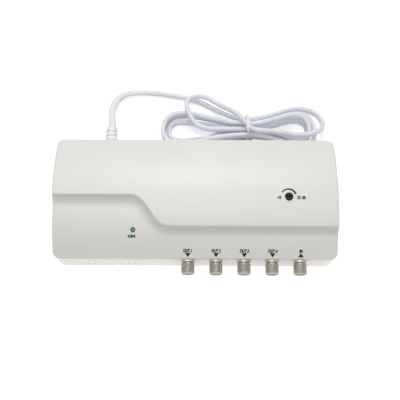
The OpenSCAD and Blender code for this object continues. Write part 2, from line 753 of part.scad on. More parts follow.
// Round wire laid through a list of points
module wire(points, d) {
    for (i = [0 : len(points) - 2]) let (a = points[i], run = points[i + 1] - a)
        translate(a) rotate([0, acos(run.z / norm(run)), atan2(run.y, run.x)]) cylinder(h = norm(run), d = d, $fn = 16);
    for (i = [1 : len(points) - 2]) translate(points[i]) sphere(d = d, $fn = 16);
}
wire_d = 1.6;
wire_y = -8;
wire_pitch = 2.8;
wire_inset = 3;
wire_end = 8;
module supply_wires() {
    from = supply_x + supply_w - wire_inset;
    z = amp_top + wire_d / 2;
    color("#b3262b") for (side = [-1, 1]) let (y = wire_y + side * wire_pitch / 2)
        wire([[from, y, board_top], [from, y, z], [screen_left + wire_end, y, z]], wire_d);
}
module mains_wires() {
    y = supply_y + supply_d - wire_inset - wire_d;
    color("#7b4a2a") for (side = [-1, 1]) let (x = relief_x + side * wire_pitch / 2)
        wire([[x, rear_y - 3 * wall, relief_z], [x, y, relief_z], [x, y, board_top]], wire_d);
}

// Strain relief: a tapered bush with gaps between its ribs, held by its neck in the wall
module strain_relief() {
    inner_l = 2 * wall;
    rib = relief_len / (relief_gaps + 1);
    gap_w = 0.9;
    function taper(s) = lerp(relief_d, relief_tip_d, s / relief_len);
    color(flex_white) translate([relief_x, rear_y, relief_z]) rotate([-90, 0, 0]) difference() {
        union() {
            translate([0, 0, -wall - inner_l]) cylinder(h = inner_l, d = relief_d);
            translate([0, 0, -wall - over]) cylinder(h = wall + 2 * over, d = relief_neck_d);
            rotate_extrude() polygon([[0, 0], [relief_d / 2, 0], [relief_tip_d / 2, relief_len], [0, relief_len]]);
        }
        for (i = [1 : relief_gaps]) translate([0, 0, i * rib]) difference() {
            translate([0, 0, -gap_w]) cylinder(h = gap_w, d = relief_d + over);
            translate([0, 0, -gap_w - over]) cylinder(h = gap_w + 2 * over, d = cord_w + 0.6);
            translate([-0.9, (i % 2 == 0 ? -relief_d : 0), -gap_w - over]) cube([1.8, relief_d, gap_w + 2 * over]);
        }
    }
}

// Cord: lead, hank and tail are one flat flex, and each stretch is swept along its own points
upright = 90;
function unit(v) = v / norm(v);
function sweep_ring(points, i, rolls, section) =
    let (last = len(points) - 1,
        along = unit(points[min(i + 1, last)] - points[max(i - 1, 0)]),
        side = unit(cross(along, [0, 0, 1])),
        up = cross(side, along))
    [for (p = section) let (c = cos(rolls[i]), s = sin(rolls[i]))
        points[i] + side * (p.x * c - p.y * s) + up * (p.x * s + p.y * c)];
module flex(points, rolls, sides) {
    section = [for (k = [0 : sides - 1]) let (a = 360 * k / sides)
        [cord_w / 2 * cos(a), cord_t / 2 * sin(a)]];
    rings = len(points);
    faces = concat([[for (k = [sides - 1 : -1 : 0]) k]],
        [for (i = [0 : rings - 2]) each band((i + 1) * sides, i * sides, sides)],
        [[for (k = [0 : sides - 1]) (rings - 1) * sides + k]]);
    polyhedron([for (i = [0 : rings - 1]) each sweep_ring(points, i, rolls, section)], faces);
}

// Hank: flattened loops with a waist, in two layers, over the plug's grip
hank_x = 39;
hank_y = 61.5;
hank_turns = 2.6;
rings_per_turn = 24;
reverse_turn = 1.25;
climb_from = 1.14;
climb_to = 1.36;
layer_step = cord_w + 1.8;
floor_gap = 0.1;
waist_step = cord_t + 1;
waist_from = waist_step / 4;
bulge_from = 6.2;
bulge_step = 2.2;
front_share = 0.72;
right_reach = 47;
left_reach = 61;
reach_step = waist_step;
hump_h = plug_t + 1.2;
hump_lean = 0.3;
hump_flat = [19, 13];
hump_run = 36;
function hump(x) =
    let (past = max(0, abs(x - hank_x) - (x < hank_x ? hump_flat[0] : hump_flat[1])))
    past >= hump_run ? 0 : hump_h * (1 + cos(180 * past / hump_run)) / 2;
function spiral(t) = t < reverse_turn ? t : 2 * reverse_turn - t;
function climb(t) = (1 - cos(180 * min(1, max(0, (t - climb_from) / (climb_to - climb_from))))) / 2;
function hank_point(t) =
    let (s = spiral(t), a = 360 * t - 90,
        bulge = (bulge_from + bulge_step * s) * (sin(a) < 0 ? front_share : 1),
        x = hank_x + cos(a) * ((cos(a) > 0 ? right_reach : left_reach) + reach_step * s),
        y = (waist_from + waist_step * s + bulge) * sin(a) + bulge * sin(3 * a))
    [x, hank_y + y - hump_lean * hump(x), cord_w / 2 + floor_gap + layer_step * (1 - climb(t)) + hump(x)];
hank_bare = [for (i = [0 : floor(hank_turns * rings_per_turn)]) hank_point(i / rings_per_turn)];
hank_end = hank_bare[len(hank_bare) - 1];
hank_away = unit(hank_end - hank_bare[len(hank_bare) - 2]);
hank_path = concat([hank_bare[0]], [hank_bare[0] + [cord_w, 0, 0]],
    [for (i = [1 : len(hank_bare) - 1]) hank_bare[i]], [hank_end + hank_away * cord_w]);

// Least gap of the hank to itself, across the cord at points between its rings
function beside(d, along) =
    let (side = unit(cross(along, [0, 0, 1])), up = cross(side, along))
    max(abs(d * side) - cord_t, abs(d * up) - cord_w, abs(d * along) - cord_t / 2);
gap_steps = 4;
gap_points = [for (i = [0 : len(hank_path) - 2], k = [0 : gap_steps - 1])
    lerp(hank_path[i], hank_path[i + 1], k / gap_steps)];
far_apart = gap_steps * rings_per_turn / 3;
hank_gap = min([for (i = [0 : len(gap_points) - 2], j = [0 : len(gap_points) - 1])
    if (abs(i - j) >= far_apart) beside(gap_points[j] - gap_points[i], unit(gap_points[i + 1] - gap_points[i]))]);
echo(hank_least_gap = hank_gap);

// Lead: from the strain relief over the floor, round the right of the hank, over its waist,
// round a stray loop on its left and back into the hank
lead_start = [relief_x, rear_y + relief_len, relief_z];
lead_path = concat(
    [lead_start, lead_start + [0, cord_w, 0]],
    [[-65.5, 72, 10], [-66, 79, 7], [-65, 85, 5], [-62, 91, 3.6], [-56, 95.5, 3], [-48, 97, 2.8],
        [-38, 97, 2.8], [-27, 96, 2.8], [-16, 94, 2.8], [-5, 92, 2.8], [5, 87.5, 3], [15, 81.5, 4],
        [25, 75, 7.5], [32, 70.5, 12], [39, 68.5, 15], [47, 69.5, 13.5], [57, 74, 9], [66, 79, 5.5],
        [75, 82.5, 3.2], [84, 83, 2.8], [92, 80.5, 2.8], [97, 75.5, 3.5], [98.5, 69, 6], [96.5, 63, 10.5],
        [92, 58, 14.8], [85, 55, 16.6], [75, 53.5, 19.2], [64, 53, 23.8], [54, 53, 26.2], [46, 53.5, 26.4],
        [40, 56, 26.4], [36.5, 61, 26.4], [33, 66, 25.6], [29, 71, 22], [24, 76, 17.5], [17, 82, 13],
        [10, 88, 10.5], [4, 90.5, 9.5], [-2, 89.8, 10], [-6, 86, 12], [-7.5, 80.5, 16], [-6.5, 74.5, 17.5],
        [-4, 68.5, 17.5], [0, 63, 17.5], [6, 59.3, 18], [14, 57.8, 19], [24, 57.5, 19.8]],
    [hank_bare[0] - [cord_w, 0, 0], hank_bare[0]]);
twist_from = 3;
twist_over = 5;
lead_rolls = [for (i = [0 : len(lead_path) - 1]) upright * min(1, max(0, (i - twist_from) / twist_over))];

// Tail: from the hank's end on the floor to the plug's neck
plug_x = 20;
plug_y = 55.5;
plug_back = [plug_x - plug_neck, plug_y, plug_t / 2];
tail_path = concat([hank_path[len(hank_path) - 1], hank_path[len(hank_path) - 1] + hank_away * cord_w],
    [[-8, 70.2, 4.4], [-13.5, 71, 3.2], [-18.9, 68.8, 2.8], [-21.2, 63.3, 2.8], [-18.9, 57.9, 2.8],
        [-13.5, 55.7, 2.8], [-6, 55.6, 3]],
    [plug_back - [cord_w, 0, 0], plug_back]);

module cord_lead() { color(flex_white) flex(lead_path, lead_rolls, 8); }
module cord_hank() { color(flex_white) flex(hank_path, [for (p = hank_path) upright], 6); }
module cord_tail() { color(flex_white) flex(tail_path, [for (p = tail_path) upright], 8); }

// Tie round the hank's waist, a bent strip above the plug's grip
module hank_tie() {
    strip_w = 2;
    strip_t = 0.7;
    low = [50, plug_t + seat];
    high = [71.6, 30];
    bend = 5;
    color("white") translate([hank_x - strip_w / 2, 0, 0]) rotate([90, 0, 90]) linear_extrude(strip_w) difference() {
        rounded(low, high, bend);
        rounded(low + [strip_t, strip_t], high - [strip_t, strip_t], bend - strip_t);
    }
}
module rounded(low, high, r) {
    for (x = [low.x + r, high.x - r], y = [low.y + r, high.y - r]) translate([x, y]) circle(r);
    translate([low.x, low.y + r]) square([high.x - low.x, high.y - low.y - 2 * r]);
    translate([low.x + r, low.y]) square([high.x - low.x - 2 * r, high.y - low.y]);
}

// Plug: a moulded grip with a tapered neck, and two flat blades set in it
blade_root = 6;
module plug_grip() {
    nose = 2;
    color(flex_white) difference() {
        union() {
            hull() for (end = [plug_x + nose, plug_x + plug_l - nose], side = [-1, 1])
                translate([end, plug_y + side * (plug_w / 2 - nose), 0]) cylinder(h = plug_t, r = nose, $fn = 24);
            hull() {
                translate([plug_x, plug_y, plug_t / 2]) cube([2, plug_w * 0.7, plug_t - 1], center = true);
                translate([plug_x - plug_neck + 0.5, plug_y, plug_t / 2])
                    cube([1, cord_t + 2, cord_w + 1.6], center = true);
            }
        }
        blades();
    }
}
module blades() {
    for (side = [-1, 1])
        translate([plug_x + plug_l - blade_root, plug_y + side * blade_pitch / 2 - blade_t / 2, (plug_t - blade_w) / 2])
            cube([blade_root + blade_l, blade_t, blade_w]);
}
module plug_blades() {
    color(nickel) difference() {
        blades();
        for (side = [-1, 1]) translate([plug_x + plug_l + blade_l - 4, plug_y + side * blade_pitch / 2 - blade_t, plug_t / 2])
            rotate([-90, 0, 0]) cylinder(h = 2 * blade_t, d = 3);
    }
}

base_tray();
top_cover();
cover_screws();
supply_board();
board_screws();
transformer_core();
transformer_winding();
mains_fuse();
rectifier_diodes();
filter_capacitor();
voltage_regulator();
power_led();
led_leads();
screen_frame();
screen_lid();
amplifier_board();
connector(0);  // output_connector_1
connector(1);  // output_connector_2
connector(2);  // output_connector_3
connector(3);  // output_connector_4
connector(4);  // aerial_connector
connector_insulators();
connector_contacts();
amplifier_chips();
splitter_ferrites();
gain_pot_case();
gain_knob();
supply_wires();
mains_wires();
strain_relief();
cord_lead();
cord_hank();
cord_tail();
hank_tie();
plug_grip();
plug_blades();
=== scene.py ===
import math

import bmesh
import bpy
import numpy as np
from mathutils import Matrix, Vector


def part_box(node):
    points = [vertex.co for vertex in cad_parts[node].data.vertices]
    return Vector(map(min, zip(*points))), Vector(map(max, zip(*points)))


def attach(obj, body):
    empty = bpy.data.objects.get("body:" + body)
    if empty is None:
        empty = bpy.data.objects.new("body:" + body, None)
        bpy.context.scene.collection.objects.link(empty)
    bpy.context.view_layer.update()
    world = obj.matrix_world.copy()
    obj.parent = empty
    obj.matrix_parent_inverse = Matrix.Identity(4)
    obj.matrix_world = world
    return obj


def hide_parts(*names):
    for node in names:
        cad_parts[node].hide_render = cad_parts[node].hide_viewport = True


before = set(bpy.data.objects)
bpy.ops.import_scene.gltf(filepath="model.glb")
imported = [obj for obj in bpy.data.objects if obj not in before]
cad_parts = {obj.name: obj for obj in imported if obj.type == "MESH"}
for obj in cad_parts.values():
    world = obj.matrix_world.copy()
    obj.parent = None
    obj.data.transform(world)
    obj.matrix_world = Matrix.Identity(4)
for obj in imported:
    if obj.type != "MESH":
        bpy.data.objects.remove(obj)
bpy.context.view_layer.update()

# Camera
# The amplifier is seen from above its sockets, a little right of the middle.
# Its place and turn come from the outline of the housing in the photograph.
camera_at = Vector((0.00534, -0.16843, 0.50111))
look_down = math.radians(70.646)
look_aside = math.radians(-0.659)
camera_roll = math.radians(-0.33)
ahead = Vector((math.sin(look_aside) * math.cos(look_down),
                math.cos(look_aside) * math.cos(look_down), -math.sin(look_down)))
level_right = Vector((math.cos(look_aside), -math.sin(look_aside), 0))
level_up = level_right.cross(ahead)
camera_right = level_right * math.cos(camera_roll) + level_up * math.sin(camera_roll)
camera_up = level_up * math.cos(camera_roll) - level_right * math.sin(camera_roll)
film_wide, focal_pixels, photo_pixels = 36, 700, 400
camera_data = bpy.data.cameras.new("camera")
camera_data.sensor_width = film_wide
camera_data.lens = film_wide * focal_pixels / photo_pixels
camera = bpy.data.objects.new("camera", camera_data)
camera_turn = Matrix((camera_right, camera_up, -ahead)).transposed().to_4x4()
camera.matrix_world = Matrix.Translation(camera_at) @ camera_turn
bpy.context.collection.objects.link(camera)
scene = bpy.context.scene
scene.camera = camera
scene.view_settings.view_transform = "Standard"


# Table and studio light
# A white sheet, 1.2 m square, carries the amplifier under three soft boxes from overhead to the back.
# A low strip in front lights the sheet, which sends that light up to the front wall.
# Seen directly, in a gloss or through glass, the sheet and the room are white.
sheet_half, sheet_drop, sheet_lift = 0.6, 0.0002, 0.44
room_level, white_level = 0.32, 1.0
weld_within = 1e-6


def linear(hex_colour):
    """An sRGB hex colour as linear red, green, blue and alpha."""
    parts = [int(hex_colour[i:i + 2], 16) / 255 for i in (1, 3, 5)]
    return [p / 12.92 if p <= 0.04045 else ((p + 0.055) / 1.055) ** 2.4 for p in parts] + [1]


def add(tree, kind, links=None, **settings):
    """Adds a node with its settings, and links or fills its inputs by name or number."""
    node = tree.nodes.new(kind)
    for name, value in settings.items():
        setattr(node, name, value)
    for name, value in (links or {}).items():
        if isinstance(value, bpy.types.NodeSocket):
            tree.links.new(value, node.inputs[name])
        else:
            node.inputs[name].default_value = value
    return node


def new_finish(name):
    """An empty material and its tree, ready for nodes."""
    finish = bpy.data.materials.new(name)
    finish.use_nodes = True
    finish.node_tree.nodes.clear()
    return finish, finish.node_tree


def add_mesh(name, vertices, faces, finish, smooth=40):
    """A mesh in metres, in its place, welded, facing outwards and smooth up to an angle in degrees."""
    mesh = bpy.data.meshes.new(name)
    mesh.from_pydata([tuple(v) for v in vertices], [], [tuple(f) for f in faces])
    shape = bmesh.new()
    shape.from_mesh(mesh)
    bmesh.ops.remove_doubles(shape, verts=shape.verts, dist=weld_within)
    bmesh.ops.recalc_face_normals(shape, faces=shape.faces)
    shape.to_mesh(mesh)
    shape.free()
    mesh.materials.append(finish)
    mesh.shade_smooth()
    mesh.set_sharp_from_angle(angle=math.radians(smooth))
    piece = bpy.data.objects.new(name, mesh)
    bpy.context.collection.objects.link(piece)
    return piece


def seen_directly(tree):
    """One for what the camera sees straight, in a gloss or through glass, and nought for other light."""
    path = add(tree, "ShaderNodeLightPath")
    seen = path.outputs["Is Camera Ray"]
    for ray in ("Is Glossy Ray", "Is Transmission Ray"):
        seen = add(tree, "ShaderNodeMath", {0: seen, 1: path.outputs[ray]}, operation="MAXIMUM").outputs[0]
    return seen


white_sheet, tree = new_finish("white_paper_sheet")
lift = add(tree, "ShaderNodeMath", {0: seen_directly(tree), 1: sheet_lift}, operation="MULTIPLY")
paper = add(tree, "ShaderNodeBsdfDiffuse", {"Color": linear("#f4f1ec")})
glow = add(tree, "ShaderNodeEmission", {"Color": (1, 1, 1, 1), "Strength": lift.outputs[0]})
both = add(tree, "ShaderNodeAddShader", {0: paper.outputs[0], 1: glow.outputs[0]})
add(tree, "ShaderNodeOutputMaterial", {"Surface": both.outputs[0]})
sheet_corners = [(-sheet_half, -sheet_half, 0), (sheet_half, -sheet_half, 0),
                 (sheet_half, sheet_half, 0), (-sheet_half, sheet_half, 0)]
floor = add_mesh("floor", sheet_corners, [(0, 1, 2, 3)], white_sheet)
floor.location.z = -sheet_drop

world = bpy.data.worlds.new("studio")
scene.world = world
world.use_nodes = True
world.node_tree.nodes.clear()
tree = world.node_tree
level = add(tree, "ShaderNodeMapRange", {0: seen_directly(tree), 3: room_level, 4: white_level})
sky = add(tree, "ShaderNodeBackground", {"Color": (1, 1, 1, 1), "Strength": level.outputs[0]})
add(tree, "ShaderNodeOutputWorld", {"Surface": sky.outputs[0]})


def soft_box(name, place, target, width, height, watts):
    """A rectangular lamp that faces a point; places and sizes in metres."""
    lamp = bpy.data.lights.new(name, "AREA")
    lamp.shape = "RECTANGLE"
    lamp.size = width
    lamp.size_y = height
    lamp.energy = watts
    holder = bpy.data.objects.new(name, lamp)
    way = Vector(target) - Vector(place)
    holder.matrix_world = Matrix.Translation(place) @ way.to_track_quat("-Z", "Y").to_matrix().to_4x4()
    bpy.context.collection.objects.link(holder)


lit_point = (0, 0, 0.03)
soft_box("overhead_box", (-0.04, -0.05, 1.1), lit_point, 0.5, 0.4, watts=2.8)
soft_box("rear_box", (-0.02, 0.5, 1.0), lit_point, 0.3, 0.3, watts=3.4)
soft_box("back_box", (-0.02, 0.8, 0.8), lit_point, 0.5, 0.4, watts=1.25)
soft_box("sheet_strip", (0.025, -0.075, 0.02), (0.025, -0.075, 0), 0.5, 0.035, watts=0.062)


# Flat two-core mains cord
# White PVC flex, 5.2 by 3.6 mm, with a shallow groove between its two cores. It leaves the bush flat,
# turns on edge along the table, strays round the hank and over its waist, and ends in the plug below it.
def mm(*values):
    """Millimetres as a vector in metres."""
    return Vector(values) / 1000


cord_wide = 5.2
cord_thick = 3.6
turn_gap = cord_thick + 1
cord_exit = (-64.5, 61.5, 12)
lead_points = [
    cord_exit, (-64.5, 66.7, 12), (-65.5, 72, 10), (-66, 79, 7), (-65, 85, 5), (-62, 91, 3.6),
    (-56, 95.5, 3), (-48, 97, 2.8), (-38, 97, 2.8), (-27, 96, 2.8), (-16, 94, 2.8), (-5, 92, 2.8),
    (5, 87.5, 3), (15, 81.5, 4), (25, 75, 7.5), (32, 70.5, 12), (39, 68.5, 15), (47, 69.5, 13.5),
    (57, 74, 9), (66, 79, 5.5), (75, 82.5, 3.2), (84, 83, 2.8), (92, 80.5, 2.8), (97, 75.5, 3.5),
    (98.5, 69, 6), (96.5, 63, 10.5), (92, 58, 14.8), (85, 55, 16.6), (75, 53.5, 19.2), (64, 53, 23.8),
    (54, 53, 26.2), (46, 53.5, 26.4), (40, 56, 26.4), (36.5, 61, 26.4), (33, 66, 25.6), (29, 71, 22),
    (24, 76, 17.5), (17, 82, 13), (10, 88, 10.5), (4, 90.5, 9.5), (-2, 89.8, 10), (-6, 86, 12),
    (-7.5, 80.5, 16), (-6.5, 74.5, 17.5), (-4, 68.5, 17.5), (0, 63, 17.5), (6, 59.3, 18), (14, 57.8, 19),
    (24, 57.5, 19.8)]
tail_points = [(-8, 70.2, 4.4), (-13.5, 71, 3.2), (-18.9, 68.8, 2.8), (-21.2, 63.3, 2.8), (-18.9, 57.9, 2.8),
               (-13.5, 55.7, 2.8), (-6, 55.6, 3), (4.8, 55.5, 4.5), (10, 55.5, 4.5)]
hank_x, hank_y = 39, 61.5
hank_turns, turn_steps, outer_turn = 2.6, 48, 1.25
reach_left, reach_right = 61, 47
waist_bulge, bulge_growth, front_share = 6.2, 2.2, 0.72
layer_high, sinks_from, sinks_over = 7, 1.14, 0.22
plug_thick, over_plug = 9, 1.2
plug_left, plug_right, hump_run, hump_lean = 19, 13, 36, 0.3
on_floor = 0.1
twist_from, twist_over = 24, 38.8
ring_spacing, section_points = 1.6, 20
section_power, groove_depth, groove_half = 0.8, 0.2, 0.22


def hump(x):
    """How far the hank is lifted at x by the plug below its waist."""
    past = max(0, abs(x - hank_x) - (plug_left if x < hank_x else plug_right))
    return 0 if past >= hump_run else (plug_thick + over_plug) * (1 + math.cos(math.pi * past / hump_run)) / 2


def hank_point(turn):
    """A point of the hank's flattened loops: outwards in the upper layer, down, and inwards in the lower one."""
    grown = turn if turn < outer_turn else 2 * outer_turn - turn
    a = 2 * math.pi * turn - math.pi / 2
    bulge = (waist_bulge + bulge_growth * grown) * (front_share if math.sin(a) < 0 else 1)
    x = hank_x + math.cos(a) * ((reach_right if math.cos(a) > 0 else reach_left) + turn_gap * grown)
    y = (turn_gap / 4 + turn_gap * grown + bulge) * math.sin(a) + bulge * math.sin(3 * a)
    sunk = (1 - math.cos(math.pi * min(1, max(0, (turn - sinks_from) / sinks_over)))) / 2
    z = cord_wide / 2 + on_floor + layer_high * (1 - sunk) + hump(x)
    return (x, hank_y + y - hump_lean * hump(x), z)


def flowing(points, pieces):
    """A smooth run through points, by centripetal Catmull-Rom pieces."""
    p = np.array(points, float)
    p = np.vstack([2 * p[0] - p[1], p, 2 * p[-1] - p[-2]])
    run = []
    for i in range(1, len(p) - 2):
        spans = np.linalg.norm(np.diff(p[i - 1:i + 3], axis=0), axis=1)
        t = np.concatenate([[0], np.cumsum(np.sqrt(spans))])
        for s in np.linspace(t[1], t[2], pieces, endpoint=False):
            a = [p[i - 1 + k] + (p[i + k] - p[i - 1 + k]) * (s - t[k]) / (t[k + 1] - t[k])
                 for k in range(3)]
            b = [a[k] + (a[k + 1] - a[k]) * (s - t[k]) / (t[k + 2] - t[k]) for k in range(2)]
            run.append(b[0] + (b[1] - b[0]) * (s - t[1]) / (t[2] - t[1]))
    return np.array(run + [p[-2]])


hank_points = [hank_point(i / turn_steps) for i in range(int(hank_turns * turn_steps / 2) * 2 + 1)]
route = flowing(lead_points + hank_points + tail_points, 4)
steps = np.concatenate([[0], np.cumsum(np.linalg.norm(np.diff(route, axis=0), axis=1))])
cord_length = steps[-1]
ring_places = np.linspace(0, cord_length, int(cord_length / ring_spacing))
rings = np.stack([np.interp(ring_places, steps, route[:, k]) for k in range(3)], axis=1)
section = []
for k in range(section_points):
    a = 2 * math.pi * k / section_points
    across = math.copysign(abs(math.cos(a)) ** section_power, math.cos(a))
    groove = 1 - groove_depth * math.exp(-(across / groove_half) ** 2)
    section.append((across * cord_wide / 2, math.sin(a) * cord_thick / 2 * groove))
cord_vertices = []
for i, ring in enumerate(rings):
    along = Vector(rings[min(i + 1, len(rings) - 1)] - rings[max(i - 1, 0)]).normalized()
    side = along.cross(Vector((0, 0, 1))).normalized()
    up = side.cross(along)
    roll = math.pi / 2 * min(1, max(0, (ring_places[i] - twist_from) / twist_over))
    for u, v in section:
        cord_vertices.append((Vector(ring) + side * (u * math.cos(roll) - v * math.sin(roll))
                              + up * (u * math.sin(roll) + v * math.cos(roll))) / 1000)
n = len(section)
cord_faces = [(i * n + k, (i + 1) * n + k, (i + 1) * n + (k + 1) % n, i * n + (k + 1) % n)
              for i in range(len(rings) - 1) for k in range(n)]
cord_faces += [tuple(range(n)), tuple((len(rings) - 1) * n + k for k in reversed(range(n)))]


def mottled(name, dark, light, patch, rough, grain=0, depth=0, **sockets):
    """A finish whose colour and gloss drift over patches, with a fine grain; sizes in millimetres."""
    finish, tree = new_finish(name)
    place = add(tree, "ShaderNodeTexCoord").outputs["Object"]
    drift = add(tree, "ShaderNodeTexNoise",
                {"Vector": place, "Scale": 1000 / patch, "Detail": 3}).outputs["Fac"]
    tint = add(tree, "ShaderNodeValToRGB", {0: drift})
    for stop, position, colour in zip(tint.color_ramp.elements, (0.3, 0.7), (dark, light)):
        stop.position = position
        stop.color = linear(colour)
    gloss = add(tree, "ShaderNodeMapRange", {0: drift, 3: rough[0], 4: rough[1]})
    skin = add(tree, "ShaderNodeBsdfPrincipled",
               {"Base Color": tint.outputs[0], "Roughness": gloss.outputs[0], **sockets})
    if grain:
        grit = add(tree, "ShaderNodeTexNoise", {"Vector": place, "Scale": 1000 / grain, "Detail": 2})
        relief = add(tree, "ShaderNodeBump", {"Height": grit.outputs["Fac"], "Distance": depth / 1000})
        tree.links.new(relief.outputs[0], skin.inputs["Normal"])
    add(tree, "ShaderNodeOutputMaterial", {"Surface": skin.outputs[0]})
    return finish


# Soft PVC, extruded: a cool white with a low sheen, faintly uneven along its length from handling.
# Light strays some 7 mm inside it and softens the shade between strands.
flex_pvc = mottled("extruded_pvc_flex", "#e6eaff", "#eef1ff", 11, (0.48, 0.58), 0.7, 0.015, IOR=1.45,
                   **{"Subsurface Weight": 1.0, "Subsurface Radius": (1, 1, 1),
                      "Subsurface Scale": 0.007})
flex = add_mesh("mains_flex", cord_vertices, cord_faces, flex_pvc, smooth=70)
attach(flex, "housing")
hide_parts("cord_lead", "cord_hank", "cord_tail")


# Tie round the hank
# A strip of white paper with a soft wire along its middle, which shows as a ridge.
# It is closed round the waist of the hank, above the plug.
tie_x, tie_wide, tie_thick = 39, 2, 0.55
tie_loop = [(50.4, 13), (50.4, 19), (51.2, 24), (53.6, 28.2), (57.4, 29.5), (61, 28.4), (64.5, 24.6),
            (68.5, 20.4), (71.2, 17), (71.3, 13), (68.5, 10.2), (62, 9.5), (55, 9.5), (51.6, 10.4)]
tie_section = [(-0.5, -0.5), (-0.2, -0.5), (0, -0.8), (0.2, -0.5), (0.5, -0.5),
               (0.5, 0.5), (0.2, 0.5), (0, 0.8), (-0.2, 0.5), (-0.5, 0.5)]
overlap, loop_steps = 2, 5
lapped_loop = tie_loop[-overlap:] + tie_loop + tie_loop[:overlap]
lapped_line = flowing([(tie_x, y, z) for y, z in lapped_loop], loop_steps)
tie_line = [mm(*q) for q in lapped_line[overlap * loop_steps:-overlap * loop_steps - 1]]
tie_vertices = []
for i, q in enumerate(tie_line):
    along = (tie_line[(i + 1) % len(tie_line)] - tie_line[i - 1]).normalized()
    out = Vector((0, along.z, -along.y)).normalized()
    tie_vertices += [q + mm(u * tie_wide, 0, 0) + out * v * tie_thick / 1000 for u, v in tie_section]
n = len(tie_section)
tie_faces = [(i * n + k, i * n + (k + 1) % n,
              (i + 1) % len(tie_line) * n + (k + 1) % n, (i + 1) % len(tie_line) * n + k)
             for i in range(len(tie_line)) for k in range(n)]
# Thin coated paper: bright white, matt, with short fibres and creases of about a millimetre.
tie_paper = mottled("tie_strip_paper", "#ecebe8", "#fbfaf8", 1.1, (0.55, 0.65), 1.1, 0.04)
tie = add_mesh("hank_tie_strip", tie_vertices, tie_faces, tie_paper, smooth=35)
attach(tie, "housing")
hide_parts("hank_tie")


# Mains plug
# A moulded PVC grip with a tapered, ribbed neck, and two flat nickel-plated brass blades.
# It lies flat below the hank's waist, as it was packed.
sharp_angle = math.radians(35)
flat_angle = math.radians(0.5)


def flatten(piece):
    """Turns a piece with modifiers into a plain mesh."""
    view = bpy.context.evaluated_depsgraph_get()
    mesh = bpy.data.meshes.new_from_object(piece.evaluated_get(view), depsgraph=view)
    piece.modifiers.clear()
    piece.data = mesh


def bevelled_copy(node, name, finish, width, segments=2):
    """A copy of a CAD node with its doubles merged and its sharp edges broken to a width in metres."""
    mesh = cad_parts[node].data.copy()
    mesh.name = name
    mesh.materials.clear()
    mesh.materials.append(finish)
    shape = bmesh.new()
    shape.from_mesh(mesh)
    bmesh.ops.remove_doubles(shape, verts=shape.verts, dist=2 * weld_within)
    bmesh.ops.dissolve_limit(shape, angle_limit=flat_angle, verts=shape.verts, edges=shape.edges)
    shape.to_mesh(mesh)
    shape.free()
    for attribute in ("custom_normal", "sharp_face", "sharp_edge"):
        if attribute in mesh.attributes:
            mesh.attributes.remove(mesh.attributes[attribute])
    piece = bpy.data.objects.new(name, mesh)
    bpy.context.collection.objects.link(piece)
    edge = piece.modifiers.new("broken_edges", "BEVEL")
    edge.width = width
    edge.segments = segments
    edge.limit_method = "ANGLE"
    edge.angle_limit = sharp_angle
    edge.use_clamp_overlap = True
    flatten(piece)
    piece.data.shade_smooth()
    piece.data.set_sharp_from_angle(angle=sharp_angle)
    return piece


grip = bevelled_copy("plug_grip", "plug_moulding", flex_pvc, 0.0009, 3)
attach(grip, "housing")
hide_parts("plug_grip")

# Nickel plate over stamped brass: a warm grey metal with a little bloom in patches of some 3 mm.
blade_nickel = mottled("nickel_plated_blades", "#b4b1aa", "#d3d0c9", 3, (0.3, 0.42), Metallic=1.0)
blades = bevelled_copy("plug_blades", "plug_blade_pair", blade_nickel, 0.0003)
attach(blades, "housing")
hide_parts("plug_blades")


# Strain relief
# A soft white bush, clipped by its neck into the rear wall.
# Gaps between its ribs let it bend with the cord.
# Moulded soft PVC: a plain white, matter than the cord, with a faint grain from the mould.
bush_pvc = mottled("moulded_soft_pvc", "#efefee", "#f8f8f7", 6, (0.5, 0.6), 0.5, 0.01, IOR=1.53)
bush = bevelled_copy("strain_relief", "cord_bush", bush_pvc, 0.00025)
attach(bush, "housing")
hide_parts("strain_relief")


# Tray
# The lower moulding: a shallow ABS tray with vent slots in its front edge, two keyholes below,
# posts for the boards and a tongue that centres the cover.
# ABS from a finely spark-eroded mould: a warm white with a satin sheen and a grain of about 0.4 mm.
white_abs = mottled("moulded_abs_white", "#e6e4df", "#ebe9e5", 70, (0.36, 0.44), 0.4, 0.006, IOR=1.53)
tray = bevelled_copy("base_tray", "lower_moulding", white_abs, 0.0003)
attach(tray, "housing")
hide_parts("base_tray")


# Screws
# Four screws close the tray from below, and four smaller ones hold the supply board to its posts.
# Zinc plate over steel: a cool grey metal with faint clouds of about 2 mm.
def dress(finish, *nodes):
    """Gives CAD nodes a finish."""
    for node in nodes:
        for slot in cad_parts[node].material_slots:
            slot.material = finish


zinc_plate = mottled("zinc_plated_steel", "#a7a9aa", "#c9cbcb", 2, (0.3, 0.42), Metallic=1.0)
dress(zinc_plate, "cover_screws", "board_screws")


# Mains supply
# A small wound transformer, a fuse in clips, four diodes, a capacitor and a regulator, all bought,
# stand on a printed board and are soldered to it. Two insulated wires bring the mains from the cord.
def band(finish, axis, low, high, colour, metallic=True):
    """Lays a band of another colour, or of bare metal, over a finish; places on the axis in metres."""
    tree = finish.node_tree
    skin = tree.nodes["Principled BSDF"]
    place = add(tree, "ShaderNodeSeparateXYZ", {0: add(tree, "ShaderNodeTexCoord").outputs["Object"]})
    inside = add(tree, "ShaderNodeMath", {0: place.outputs[axis], 1: (low + high) / 2, 2: (high - low) / 2},
                 operation="COMPARE").outputs[0]
    below = skin.inputs["Base Color"].links[0].from_socket
    tint = add(tree, "ShaderNodeMix", {0: inside, 6: below, 7: linear(colour)}, data_type="RGBA")
    tree.links.new(tint.outputs[2], skin.inputs["Base Color"])
    if metallic:
        links = skin.inputs["Metallic"].links
        metal_below = links[0].from_socket if links else 0.0
        shine = add(tree, "ShaderNodeMath", {0: inside, 1: metal_below}, operation="MAXIMUM")
        tree.links.new(shine.outputs[0], skin.inputs["Metallic"])


